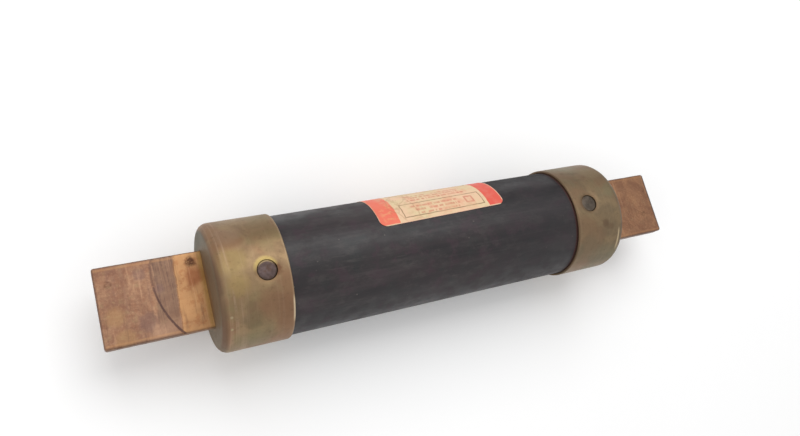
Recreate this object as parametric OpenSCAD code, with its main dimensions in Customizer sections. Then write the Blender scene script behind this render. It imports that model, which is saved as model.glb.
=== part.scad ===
// Knife-blade cartridge fuse, 200 A size, dual-element time-delay pattern.
// X runs along the fuse, the flat faces of the blades look along +Z and -Z, and the
// origin is the middle of the fuse on its axis. Sizes are in millimetres.

/* [Overall] */
// Length from blade tip to blade tip
overall_len = 244.5; // [238:0.5:256]
// Length of the barrel measured over the two end caps
body_len = 172.5; // [170:0.5:176]

/* [Tube and label] */
// Outside diameter of the fibre tube
tube_od = 44.45; // [44:0.05:46]
// Wall thickness of the fibre tube
tube_wall = 3.2; // [3:0.1:3.6]
// Length of the paper label along the fuse
label_len = 54.5; // [40:0.5:80]
// Distance of the label's middle from the fuse's middle, towards +X
label_shift = 3.15; // [-15:0.05:15]
// Angle round the tube at which the label starts, from +Z towards +Y
label_start = 19; // [0:1:60]
// Angle that the label covers
label_span = 98; // [60:1:160]
// Radius of the label's corners
label_corner = 2.8; // [1:0.1:4]
// Thickness of the paper
label_t = 0.15; // [0.1:0.01:0.3]

/* [End caps] */
// Sheet thickness of the drawn brass caps
cap_wall = 1.1; // [0.9:0.05:1.4]
// Length of each cap
cap_len = 25; // [22:0.5:27]
// Outside radius of the cap's drawn shoulder
cap_shoulder = 3.5; // [2.5:0.1:4]
// Radius of the rounded lip at the cap's open end
cap_lip = 0.45; // [0.2:0.05:0.6]

/* [Knife blades] */
// Width of the exposed blade
blade_w = 28; // [26:0.1:30]
// Thickness of the exposed blade
blade_t = 4.76; // [4.4:0.01:5.2]
// Corner radius at the tip of the left blade
left_corner = 0.9; // [0.5:0.1:4]
// Corner radius at the tip of the right blade
right_corner = 1.2; // [0.5:0.1:4]
// Radius of the long edges of both blades
blade_edge = 0.45; // [0.2:0.05:0.8]
// Width of the tang inside the barrel
tang_w = 24; // [20:0.5:25]
// Thickness of the tang inside the barrel
tang_t = 4; // [3.4:0.1:4.2]

/* [Cap pins] */
// Diameter of the steel pins that lock cap, tube and plug together
pin_d = 7.1; // [6:0.1:8]
// Distance of the pins from the fuse's middle
pin_x = 69.2; // [67:0.1:72]
// Depth of the pin's end below the cap's surface
pin_recess = 0.5; // [0.3:0.05:0.8]
// Length of each pin
pin_len = 12.5; // [9:0.5:15]
// Turn of the left pins about the fuse's axis, from the normal of the blades towards +Y
pin_turn_left = -2.6; // [-5:0.1:5]
// Turn of the right pins about the fuse's axis, from the normal of the blades towards +Y
pin_turn_right = 3; // [-5:0.1:5]

/* [Short-circuit links] */
// Width of each copper link strip
link_w = 14; // [12:0.5:18]
// Thickness of each copper link strip
link_t = 0.4; // [0.3:0.05:0.8]
// Diameter of the punched holes
link_hole_d = 2.2; // [1.6:0.1:2.4]
// Rows of holes along each strip
link_rows = 3; // [2:1:3]
// Holes in each row
link_holes = 5; // [3:1:5]

/* [Overload trigger] */
// Travel of the plunger when the alloy lets go
trigger_travel = 10; // [6:0.5:10]
// Diameter of the plunger rod
rod_d = 6; // [5:0.1:6.4]
// Wire diameter of the trigger spring
spring_wire = 1.2; // [1:0.05:1.3]
// Mean diameter of the trigger spring
spring_mean_d = 16; // [14:0.5:18]
// Turns in the trigger spring
spring_turns = 6; // [5:0.5:6]

/* [Hidden] */

// Smoothness of large and small round shapes
round_fn = 128;
small_fn = 48;
// Gap between pieces that are fitted and do not move
fit_gap = 0.05;
// Gap between surfaces that are pressed or glued together
close_gap = 0.02;
// Gap round the tang and the pins in the cap's slot and holes
cap_gap = 0.2;
// Gap round the running parts of the trigger
run_gap = 0.3;
// Extra length that lets a cutting shape pass through a surface
past = 1;

// Barrel
tube_r = tube_od / 2;
bore_r = tube_r - tube_wall;
cap_bore_r = tube_r + close_gap;
cap_r = cap_bore_r + cap_wall;
body_half = body_len / 2;
cap_inside_x = body_half - cap_wall;
flange_t = 3.2;
flange_x = cap_inside_x - flange_t;
flange_edge = cap_shoulder - cap_wall + cap_gap;
tube_half = flange_x - fit_gap;
blade_root_x = body_half + fit_gap;

// Paper label
label_r = tube_r + close_gap;
label_left_x = label_shift - label_len / 2;
label_right_x = label_shift + label_len / 2;
label_end = label_start + label_span;
// How far the label's corner arcs cross its straight edges, which keeps the cuts clean
corner_overlap = 0.06;

// Terminal plugs, tangs and washers; right-hand positions
plug_end_x = 62;
washer_t = 1.6;
washer_x = plug_end_x - washer_t;
tang_end_x = 54.5;
filler_r = bore_r - fit_gap;
pin_hole_r = pin_d / 2 + fit_gap;
cap_hole_r = pin_d / 2 + cap_gap;
// Distance of a pin's two ends from the axis
pin_top = cap_r - pin_recess;
pin_bottom = pin_top - pin_len;
pin_chamfer = 0.4;
fill_hole_r = 2.5;
fill_y = -11;
fill_z = -10;

// Links, lying on the tangs and the tongues
link_overlap = 3.5;
link_z = tang_t / 2 + close_gap;

// Centre section between the barrier discs
barrier_t = 2;
barrier_left_x = -28;
barrier_right_x = 29;
tongue_w = 16;
tongue_len = 5.5;
tongue_corner = 1;
left_tongue_end = -barrier_left_x + barrier_t + tongue_len;
right_tongue_end = barrier_right_x + barrier_t + tongue_len;
block_r = 11;
absorber_face_x = -14;
alloy_pocket_r = 4;
pocket_floor_x = absorber_face_x - 5;
alloy_floor = 0.7;
seat_t = 2;
collar_t = 2.5;
coiled_len = 10;
collar_x = absorber_face_x + seat_t + coiled_len;
collar_r = 10.2;
shoulder_r = rod_d / 2 + 1;
shoulder_len = 1.5;
tip_chamfer = 0.5;
stop_t = 1;
stop_x = collar_x + collar_t + shoulder_len + trigger_travel + run_gap;
contact_face_x = stop_x + stop_t;
rod_end_x = 17.5;
rod_tip_x = pocket_floor_x + alloy_floor + fit_gap;
contact_bore_end = rod_end_x + trigger_travel + run_gap;
sleeve_inner_r = block_r + fit_gap;
sleeve_wall = 2;

// Trigger spring, whose first and last turns lie nearly closed
spring_start_x = absorber_face_x + seat_t + 2 * fit_gap;
spring_end_x = collar_x - 2 * fit_gap;
wire_sides = 8;
steps_per_turn = 24;
dead_turns = 1;
dead_pitch = spring_wire + fit_gap;

// Colours
brass = [0.62, 0.52, 0.36];
dull_brass = [0.55, 0.47, 0.33];
copper = [0.68, 0.48, 0.36];
fibre_black = [0.13, 0.12, 0.12];
fibre_grey = [0.45, 0.42, 0.38];
steel = [0.42, 0.38, 0.36];
paper = [0.86, 0.66, 0.54];
sand = [0.82, 0.76, 0.64];
solder = [0.66, 0.67, 0.68];
mica = [0.60, 0.55, 0.42];

// ---- shared shapes ----

// A cylinder along X from x0 to x1
module rod(r, x0, x1, fn = round_fn) {
    translate([x0, 0, 0])
        rotate([0, 90, 0])
            cylinder(r = r, h = x1 - x0, $fn = fn);
}

// A disc with a central hole, along X
module ring(r_out, r_in, x0, x1) {
    difference() {
        rod(r_out, x0, x1);
        rod(r_in, x0 - past, x1 + past);
    }
}

// A box centred on the X axis
module bar(x0, x1, width, thick) {
    translate([x0, -width / 2, -thick / 2])
        cube([x1 - x0, width, thick]);
}

// Puts a right-hand piece on the left
module on_left() {
    mirror([1, 0, 0])
        children();
}

// Half section of a cup whose closed end has a rounded outer edge: radius, then length
module cup_half(r, len, edge) {
    square([r - edge, len]);
    square([r, len - edge]);
    translate([r - edge, len - edge])
        intersection() {
            circle(r = edge, $fn = small_fn);
            square(edge + past);
        }
}

// Turns a pair of pins or holes at the right-hand end about the fuse's axis
module pin_pair(turn) {
    rotate([-turn, 0, 0])
        for (below = [0, 1])
            mirror([0, 0, below])
                translate([pin_x, 0, 0])
                    children();
}

// Both holes for the pins, from one distance from the axis to another
module pin_holes(r, low, high, turn) {
    pin_pair(turn)
        translate([0, 0, low])
            cylinder(r = r, h = high - low, $fn = small_fn);
}

// ---- barrel ----

module tube_pin_holes(turn) {
    pin_holes(pin_hole_r, bore_r - past, tube_r + past, turn);
}

module fibre_tube() {
    color(fibre_black)
        difference() {
            ring(tube_r, bore_r, -tube_half, tube_half);
            on_left()
                tube_pin_holes(pin_turn_left);
            tube_pin_holes(pin_turn_right);
        }
}

// Part of a thin shell round the tube; angles run from +Z towards +Y
module label_shell(x0, x1, a0, a1) {
    translate([x0, 0, 0])
        rotate([0, 90, 0])
            rotate([0, 0, 180 - a1])
                rotate_extrude(angle = a1 - a0, $fn = round_fn)
                    translate([label_r, 0])
                        square([label_t, x1 - x0]);
}

// What is cut away to round one corner of the label; dx and da point out of the label
module label_corner_cut(dx, da) {
    reach = label_corner + past;
    low = tube_r - 2 * past;
    high = tube_r + 2 * past;
    difference() {
        translate([min(0, dx * reach), min(0, da * reach), low])
            cube([reach, reach, high - low]);
        translate([0, 0, low - past])
            cylinder(r = label_corner, h = high - low + 2 * past, $fn = small_fn);
    }
}

module paper_label() {
    inset = label_corner - corner_overlap;
    turn_inset = inset / tube_r * 180 / PI;
    color(paper)
        difference() {
            label_shell(label_left_x, label_right_x, label_start, label_end);
            for (dx = [-1, 1], da = [-1, 1])
                rotate([da < 0 ? -label_start - turn_inset : turn_inset - label_end, 0, 0])
                    translate([dx < 0 ? label_left_x + inset : label_right_x - inset, 0, 0])
                        label_corner_cut(dx, da);
        }
}

// What is cut away to round the outer edge of the cap's lip
module lip_cut() {
    difference() {
        translate([cap_r - cap_lip, -past])
            square([cap_lip + past, cap_lip + past]);
        translate([cap_r - cap_lip, cap_lip])
            circle(r = cap_lip, $fn = small_fn);
    }
}

// Drawn cap with a slot for the tang and two pin holes
module end_cap(turn) {
    difference() {
        translate([body_half - cap_len, 0, 0])
            rotate([0, 90, 0])
                rotate_extrude($fn = round_fn)
                    difference() {
                        cup_half(cap_r, cap_len, cap_shoulder);
                        translate([0, -past])
                            cup_half(cap_bore_r, cap_len - cap_wall + past, cap_shoulder - cap_wall);
                        lip_cut();
                    }
        bar(cap_inside_x - past, body_half + past, tang_w + 2 * cap_gap, tang_t + 2 * cap_gap);
        pin_holes(cap_hole_r, cap_bore_r - past, cap_r + past, turn);
    }
}

module end_cap_left() {
    color(brass)
        on_left()
            end_cap(pin_turn_left);
}

module end_cap_right() {
    color(brass)
        end_cap(pin_turn_right);
}

// ---- knife blades ----

// Blade outline seen from above, with rounded tip corners
module blade_outline(corner) {
    tip_x = overall_len / 2;
    translate([blade_root_x, -blade_w / 2])
        square([tip_x - blade_root_x - corner, blade_w]);
    translate([blade_root_x, -blade_w / 2 + corner])
        square([tip_x - blade_root_x, blade_w - 2 * corner]);
    for (side = [-1, 1])
        translate([tip_x - corner, side * (blade_w / 2 - corner)])
            circle(r = corner, $fn = small_fn);
}

// A rectangle with rounded corners, centred
module round_rect(w, h, r) {
    square([w - 2 * r, h], center = true);
    square([w, h - 2 * r], center = true);
    for (x = [-1, 1], y = [-1, 1])
        translate([x * (w / 2 - r), y * (h / 2 - r)])
            circle(r = r, $fn = small_fn);
}

// Blade with rounded edges, in one piece with the narrower tang that runs into the barrel
module knife_blade(corner) {
    intersection() {
        linear_extrude(height = blade_t, center = true)
            blade_outline(corner);
        translate([body_half - past, 0, 0])
            rotate([90, 0, 90])
                linear_extrude(height = overall_len)
                    round_rect(blade_w, blade_t, blade_edge);
    }
    bar(tang_end_x, blade_root_x + past, tang_w, tang_t);
}

module knife_blade_left() {
    color(copper)
        on_left()
            knife_blade(left_corner);
}

module knife_blade_right() {
    color(copper)
        knife_blade(right_corner);
}

// ---- terminal plugs, pins and fill plugs ----

// The hole through which sand is poured, clear of the tang and the pins
module at_fill_hole() {
    translate([0, fill_y, fill_z])
        children();
}

// Slot for the tang through a plug or a disc
module tang_slot(x0, x1) {
    bar(x0 - past, x1 + past, tang_w + 2 * fit_gap, tang_t + 2 * fit_gap);
}

// Flanged plug that closes the tube and carries the blade
module terminal_plug(turn) {
    difference() {
        union() {
            rod(filler_r, plug_end_x, flange_x + fit_gap);
            translate([flange_x, 0, 0])
                rotate([0, 90, 0])
                    rotate_extrude($fn = round_fn)
                        cup_half(tube_r, flange_t - fit_gap, flange_edge);
        }
        tang_slot(plug_end_x, cap_inside_x);
        pin_holes(pin_hole_r, pin_bottom - fit_gap, bore_r + past, turn);
        at_fill_hole()
            rod(fill_hole_r, plug_end_x - past, body_half, small_fn);
    }
}

module terminal_plug_left() {
    color(dull_brass)
        on_left()
            terminal_plug(pin_turn_left);
}

module terminal_plug_right() {
    color(dull_brass)
        terminal_plug(pin_turn_right);
}

// Straight pins with chamfered outer ends, driven in from opposite sides
module cap_pins(turn) {
    pin_pair(turn) {
        translate([0, 0, pin_bottom])
            cylinder(d = pin_d, h = pin_len - pin_chamfer, $fn = small_fn);
        translate([0, 0, pin_top - pin_chamfer])
            cylinder(d1 = pin_d, d2 = pin_d - 2 * pin_chamfer, h = pin_chamfer, $fn = small_fn);
    }
}

module cap_pins_left() {
    color(steel)
        on_left()
            cap_pins(pin_turn_left);
}

module cap_pins_right() {
    color(steel)
        cap_pins(pin_turn_right);
}

module fill_plug() {
    at_fill_hole()
        rod(fill_hole_r - fit_gap, washer_x, cap_inside_x - 2 * fit_gap, small_fn);
}

module fill_plug_left() {
    color(dull_brass)
        on_left()
            fill_plug();
}

module fill_plug_right() {
    color(dull_brass)
        fill_plug();
}

module heat_washer() {
    difference() {
        rod(filler_r, washer_x, plug_end_x - fit_gap);
        tang_slot(washer_x, plug_end_x);
        at_fill_hole()
            rod(fill_hole_r, washer_x - past, plug_end_x + past, small_fn);
    }
}

module heat_washer_left() {
    color(fibre_grey)
        on_left()
            heat_washer();
}

module heat_washer_right() {
    color(fibre_grey)
        heat_washer();
}

// ---- short-circuit links and sand ----

// A strip from the tongue of the centre section to the tang, lying on their upper faces
module short_link(tongue_end) {
    start = tongue_end - link_overlap;
    row_pitch = (tang_end_x - tongue_end) / (link_rows + 1);
    hole_pitch = link_w / link_holes;
    first_y = -(link_holes - 1) / 2 * hole_pitch;
    difference() {
        translate([start, -link_w / 2, link_z])
            cube([tang_end_x + link_overlap - start, link_w, link_t]);
        for (row = [1 : link_rows], hole = [0 : link_holes - 1])
            translate([tongue_end + row * row_pitch, first_y + hole * hole_pitch, link_z - past])
                cylinder(d = link_hole_d, h = link_t + 2 * past, $fn = small_fn);
    }
}

module short_link_left_upper() {
    color(copper)
        on_left()
            short_link(left_tongue_end);
}

module short_link_left_lower() {
    color(copper)
        on_left()
            mirror([0, 0, 1])
                short_link(left_tongue_end);
}

module short_link_right_upper() {
    color(copper)
        short_link(right_tongue_end);
}

module short_link_right_lower() {
    color(copper)
        mirror([0, 0, 1])
            short_link(right_tongue_end);
}

// Quartz sand packed round the links, from a barrier disc to a heat washer
module sand_fill(x0, tongue_end) {
    slack = 2 * fit_gap;
    reach = link_overlap + slack;
    stack_t = 2 * (link_z + link_t);
    difference() {
        rod(filler_r, x0 + fit_gap, washer_x - fit_gap);
        bar(x0 - past, tongue_end + slack, tongue_w + 2 * slack, tang_t + 2 * slack);
        bar(tongue_end - reach, tang_end_x + reach, link_w + 2 * slack, stack_t + 2 * slack);
        bar(tang_end_x - slack, washer_x + past, tang_w + 2 * slack, tang_t + 2 * slack);
    }
}

module sand_fill_left() {
    color(sand)
        on_left()
            sand_fill(-barrier_left_x + barrier_t, left_tongue_end);
}

module sand_fill_right() {
    color(sand)
        sand_fill(barrier_right_x + barrier_t, right_tongue_end);
}

// ---- overload trigger ----

// Fibre disc between the sand and the centre section
module barrier_disc(x0) {
    difference() {
        rod(filler_r, x0 + fit_gap, x0 + barrier_t - fit_gap);
        bar(x0 - past, x0 + barrier_t + past, tongue_w + 2 * fit_gap, tang_t + 2 * fit_gap);
    }
}

module barrier_disc_left() {
    color(fibre_grey)
        on_left()
            barrier_disc(-barrier_left_x);
}

module barrier_disc_right() {
    color(fibre_grey)
        barrier_disc(barrier_right_x);
}

// Flat tongue that carries the links, on the far side of a barrier disc
module tongue(x0, x1) {
    linear_extrude(height = tang_t, center = true) {
        translate([x0, -tongue_w / 2])
            square([x1 - x0 - tongue_corner, tongue_w]);
        translate([x0, -tongue_w / 2 + tongue_corner])
            square([x1 - x0, tongue_w - 2 * tongue_corner]);
        for (side = [-1, 1])
            translate([x1 - tongue_corner, side * (tongue_w / 2 - tongue_corner)])
                circle(r = tongue_corner, $fn = small_fn);
    }
}

// Copper block that warms under a sustained overload; its pocket holds the alloy
module heat_absorber() {
    color(copper)
        difference() {
            union() {
                rod(block_r, barrier_left_x, absorber_face_x);
                on_left()
                    tongue(-barrier_left_x - past, left_tongue_end);
            }
            rod(alloy_pocket_r, pocket_floor_x, absorber_face_x + past, small_fn);
        }
}

// Low-melting alloy that holds the plunger's tip in the pocket
module fusing_alloy() {
    color(solder)
        difference() {
            rod(alloy_pocket_r - close_gap, pocket_floor_x, absorber_face_x - fit_gap, small_fn);
            rod(rod_d / 2 + fit_gap, pocket_floor_x + alloy_floor, absorber_face_x + past, small_fn);
        }
}

// Mica washer that keeps the spring off the live block
module spring_seat() {
    color(mica)
        ring(collar_r, rod_d / 2 + run_gap, absorber_face_x + fit_gap, absorber_face_x + seat_t);
}

// Fibre sleeve that joins the two blocks and guides the collar
module trigger_sleeve() {
    sleeve_r = sleeve_inner_r + sleeve_wall;
    color(fibre_grey)
        ring(sleeve_r, sleeve_inner_r, barrier_left_x + fit_gap, barrier_right_x - fit_gap);
}

// Copper block in whose bore the plunger's other end slides
module contact_block() {
    color(copper)
        difference() {
            union() {
                rod(block_r, contact_face_x, barrier_right_x);
                tongue(barrier_right_x - past, right_tongue_end);
            }
            rod(rod_d / 2 + fit_gap, contact_face_x - past, contact_bore_end, small_fn);
        }
}

module stop_washer() {
    color(mica)
        ring(collar_r, rod_d / 2 + run_gap, stop_x, contact_face_x - fit_gap);
}

// Rod with a chamfered tip in the alloy and a shoulder that the collar pushes
module trigger_plunger() {
    color(copper) {
        translate([rod_tip_x, 0, 0])
            rotate([0, 90, 0])
                cylinder(r1 = rod_d / 2 - tip_chamfer, r2 = rod_d / 2, h = tip_chamfer, $fn = small_fn);
        rod(rod_d / 2, rod_tip_x + tip_chamfer, rod_end_x, small_fn);
        rod(shoulder_r, collar_x + collar_t + fit_gap, collar_x + collar_t + shoulder_len, small_fn);
    }
}

module spring_collar() {
    color(steel)
        ring(collar_r, rod_d / 2 + fit_gap, collar_x, collar_x + collar_t);
}

// Distance along the wire's centre line for a given number of turns from the start
function spring_rise(turns) =
    let (
        centre_len = spring_end_x - spring_start_x - spring_wire,
        live_turns = spring_turns - 2 * dead_turns,
        live_pitch = (centre_len - 2 * dead_turns * dead_pitch) / live_turns,
        first = min(turns, dead_turns),
        live = min(max(turns - dead_turns, 0), live_turns),
        last = max(turns - dead_turns - live_turns, 0)
    )
    (first + last) * dead_pitch + live * live_pitch;

// Coil wound as one closed sweep of a round wire section
module trigger_spring() {
    steps = spring_turns * steps_per_turn;
    wire_r = spring_wire / 2;
    points = [
        for (i = [0 : steps], j = [0 : wire_sides - 1])
            let (
                turn = i / steps_per_turn,
                around = 360 * turn,
                section = 360 * j / wire_sides,
                radius = spring_mean_d / 2 + wire_r * cos(section),
                x = spring_start_x + wire_r + spring_rise(turn) + wire_r * sin(section)
            )
            [x, radius * sin(around), radius * cos(around)]
    ];
    sides = [
        for (i = [0 : steps - 1], j = [0 : wire_sides - 1])
            let (
                a = i * wire_sides + j,
                b = i * wire_sides + (j + 1) % wire_sides
            )
            [a, b, b + wire_sides, a + wire_sides]
    ];
    first_end = [for (j = [wire_sides - 1 : -1 : 0]) j];
    last_end = [for (j = [0 : wire_sides - 1]) steps * wire_sides + j];
    color(steel)
        polyhedron(points, concat(sides, [first_end, last_end]));
}

fibre_tube();
paper_label();
end_cap_left();
end_cap_right();
knife_blade_left();
knife_blade_right();
terminal_plug_left();
terminal_plug_right();
cap_pins_left();
cap_pins_right();
fill_plug_left();
fill_plug_right();
heat_washer_left();
heat_washer_right();
short_link_left_upper();
short_link_left_lower();
short_link_right_upper();
short_link_right_lower();
sand_fill_left();
sand_fill_right();
barrier_disc_left();
barrier_disc_right();
heat_absorber();
fusing_alloy();
spring_seat();
trigger_sleeve();
contact_block();
stop_washer();
trigger_plunger();
spring_collar();
trigger_spring();
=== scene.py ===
"""Looks of a knife-blade cartridge fuse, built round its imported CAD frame. Metres, row frame."""
import math

import bmesh
import bpy
from mathutils import Matrix, Vector, noise


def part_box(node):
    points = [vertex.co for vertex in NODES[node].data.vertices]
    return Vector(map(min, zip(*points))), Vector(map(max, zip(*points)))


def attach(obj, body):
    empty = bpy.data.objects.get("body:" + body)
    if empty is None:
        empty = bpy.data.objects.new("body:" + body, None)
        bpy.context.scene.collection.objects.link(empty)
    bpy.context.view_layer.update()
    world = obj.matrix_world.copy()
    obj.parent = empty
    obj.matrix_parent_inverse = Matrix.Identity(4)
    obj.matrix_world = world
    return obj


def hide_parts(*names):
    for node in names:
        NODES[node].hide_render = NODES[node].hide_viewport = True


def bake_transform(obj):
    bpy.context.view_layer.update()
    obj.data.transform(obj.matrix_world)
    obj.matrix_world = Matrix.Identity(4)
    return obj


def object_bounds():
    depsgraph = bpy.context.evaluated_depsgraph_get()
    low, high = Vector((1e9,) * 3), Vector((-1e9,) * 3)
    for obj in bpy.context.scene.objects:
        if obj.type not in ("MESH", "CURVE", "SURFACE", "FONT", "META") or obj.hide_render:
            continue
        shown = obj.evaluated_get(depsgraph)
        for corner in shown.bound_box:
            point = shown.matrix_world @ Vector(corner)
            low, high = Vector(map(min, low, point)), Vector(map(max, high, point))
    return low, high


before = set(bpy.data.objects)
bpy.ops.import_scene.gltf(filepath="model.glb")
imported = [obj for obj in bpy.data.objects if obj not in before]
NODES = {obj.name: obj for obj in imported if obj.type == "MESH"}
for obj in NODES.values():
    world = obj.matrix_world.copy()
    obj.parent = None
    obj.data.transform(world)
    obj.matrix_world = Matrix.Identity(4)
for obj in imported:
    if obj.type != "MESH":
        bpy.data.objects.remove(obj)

cad_low, cad_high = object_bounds()

MM = 0.001
ENDS = {"left": -1, "right": 1}

# -------------------------------- places read from the frame

tube_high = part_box("fibre_tube")[1]
cap_low, cap_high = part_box("end_cap_right")
blade_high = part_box("knife_blade_right")[1]
pin_low, pin_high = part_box("cap_pins_right")
label_low, label_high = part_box("paper_label")
spring_low, spring_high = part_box("trigger_spring")

TUBE_R = tube_high.y
CAP_R = cap_high.y
CAP_LIP_X = cap_low.x
CAP_FACE_X = cap_high.x
BLADE_HALF_W = blade_high.y
BLADE_HALF_T = blade_high.z
BLADE_TIP_X = blade_high.x
PIN_X = (pin_low.x + pin_high.x) / 2
PIN_R = (pin_high.x - pin_low.x) / 2

# Sizes of the drawn cap, the blade and the pins, as the CAD model has them
CAP_WALL = 1.1 * MM
CAP_SHOULDER = 3.5 * MM
CAP_LIP = 0.45 * MM
PIN_TOP = CAP_R - 0.5 * MM
PIN_LEN = 12.5 * MM
PIN_CHAMFER = 0.4 * MM
PIN_HOLE_R = PIN_R + 0.05 * MM
PIN_TURN = {"left": math.radians(-2.6), "right": math.radians(3)}
BLADE_ROOT_X = CAP_FACE_X + 0.05 * MM
TANG_HALF_W = 12 * MM
TANG_HALF_T = 2 * MM
TANG_EDGE = 0.2 * MM
SLOT_GAP = 0.2 * MM
BLADE_EDGE = 0.45 * MM
BLADE_CORNER = {"left": 0.9 * MM, "right": 1.2 * MM}


# -------------------------------- camera, floor and lights

CAMERA_PLACE = Vector((-125.0, -40.9, 252.6)) * MM
CAMERA_AIM = Vector((-6.1, 13.6, 0.0)) * MM
CAMERA_UP = Vector((0.155, 0.948, 0.277))
CAMERA_LENS = 31.6
FLOOR_HALF = 25.0


def aimed(place, target, up):
    """Matrix of a camera or lamp at place that looks at target, with up upwards in its view."""
    forward = (target - place).normalized()
    right = forward.cross(up).normalized()
    top = right.cross(forward)
    turn = Matrix((right, top, -forward)).transposed().to_4x4()
    return Matrix.Translation(place) @ turn


def make_camera():
    data = bpy.data.cameras.new("camera")
    data.lens = CAMERA_LENS
    data.clip_start = 0.01
    data.clip_end = 50
    camera = bpy.data.objects.new("camera", data)
    camera.matrix_world = aimed(CAMERA_PLACE, CAMERA_AIM, CAMERA_UP)
    bpy.context.scene.collection.objects.link(camera)
    bpy.context.scene.camera = camera


def make_softbox(name, direction, distance, size, power):
    """A white square area lamp that looks at the middle of the fuse."""
    data = bpy.data.lights.new(name, "AREA")
    data.shape = "SQUARE"
    data.size = size
    data.energy = power
    lamp = bpy.data.objects.new(name, data)
    place = Vector(direction).normalized() * distance
    lamp.matrix_world = aimed(place, Vector((0, 0, 0)), Vector((0, 1, 0.01)))
    bpy.context.scene.collection.objects.link(lamp)


def srgb(red, green, blue):
    """Linear colour, with an alpha of 1, of an sRGB colour given from 0 to 255."""
    def linear(value):
        share = value / 255
        return share / 12.92 if share <= 0.04045 else ((share + 0.055) / 1.055) ** 2.4
    return (linear(red), linear(green), linear(blue), 1)


def make_studio():
    """White surroundings that darken low down behind the fuse and to its right, and two softboxes."""
    scene = bpy.context.scene
    scene.view_settings.view_transform = "Standard"
    world = bpy.data.worlds.new("studio")
    world.use_nodes = True
    tree = world.node_tree
    toward_dark = tree.nodes.new("ShaderNodeVectorMath")
    toward_dark.operation = "DOT_PRODUCT"
    toward_dark.inputs[1].default_value = Vector((0.45, 0.85, 0.0)).normalized()
    tree.links.new(tree.nodes.new("ShaderNodeTexCoord").outputs["Generated"], toward_dark.inputs[0])
    # As that product rises from 0.35 to 0.95, the light falls from 0.80 to 0.30
    fade = tree.nodes.new("ShaderNodeMapRange")
    fade.interpolation_type = "SMOOTHSTEP"
    for index, value in enumerate((0.35, 0.95, 0.80, 0.30), start=1):
        fade.inputs[index].default_value = value
    tree.links.new(toward_dark.outputs["Value"], fade.inputs[0])
    tree.links.new(fade.outputs[0], tree.nodes["Background"].inputs["Strength"])
    tree.nodes["Background"].inputs["Color"].default_value = (1, 1, 1, 1)
    scene.world = world
    make_softbox("key", (0.12, 0.52, 0.85), 0.85, 0.75, 3.9)
    make_softbox("side", (-0.9, -0.2, 0.5), 1.0, 0.5, 1.6)


# -------------------------------- shader building

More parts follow.
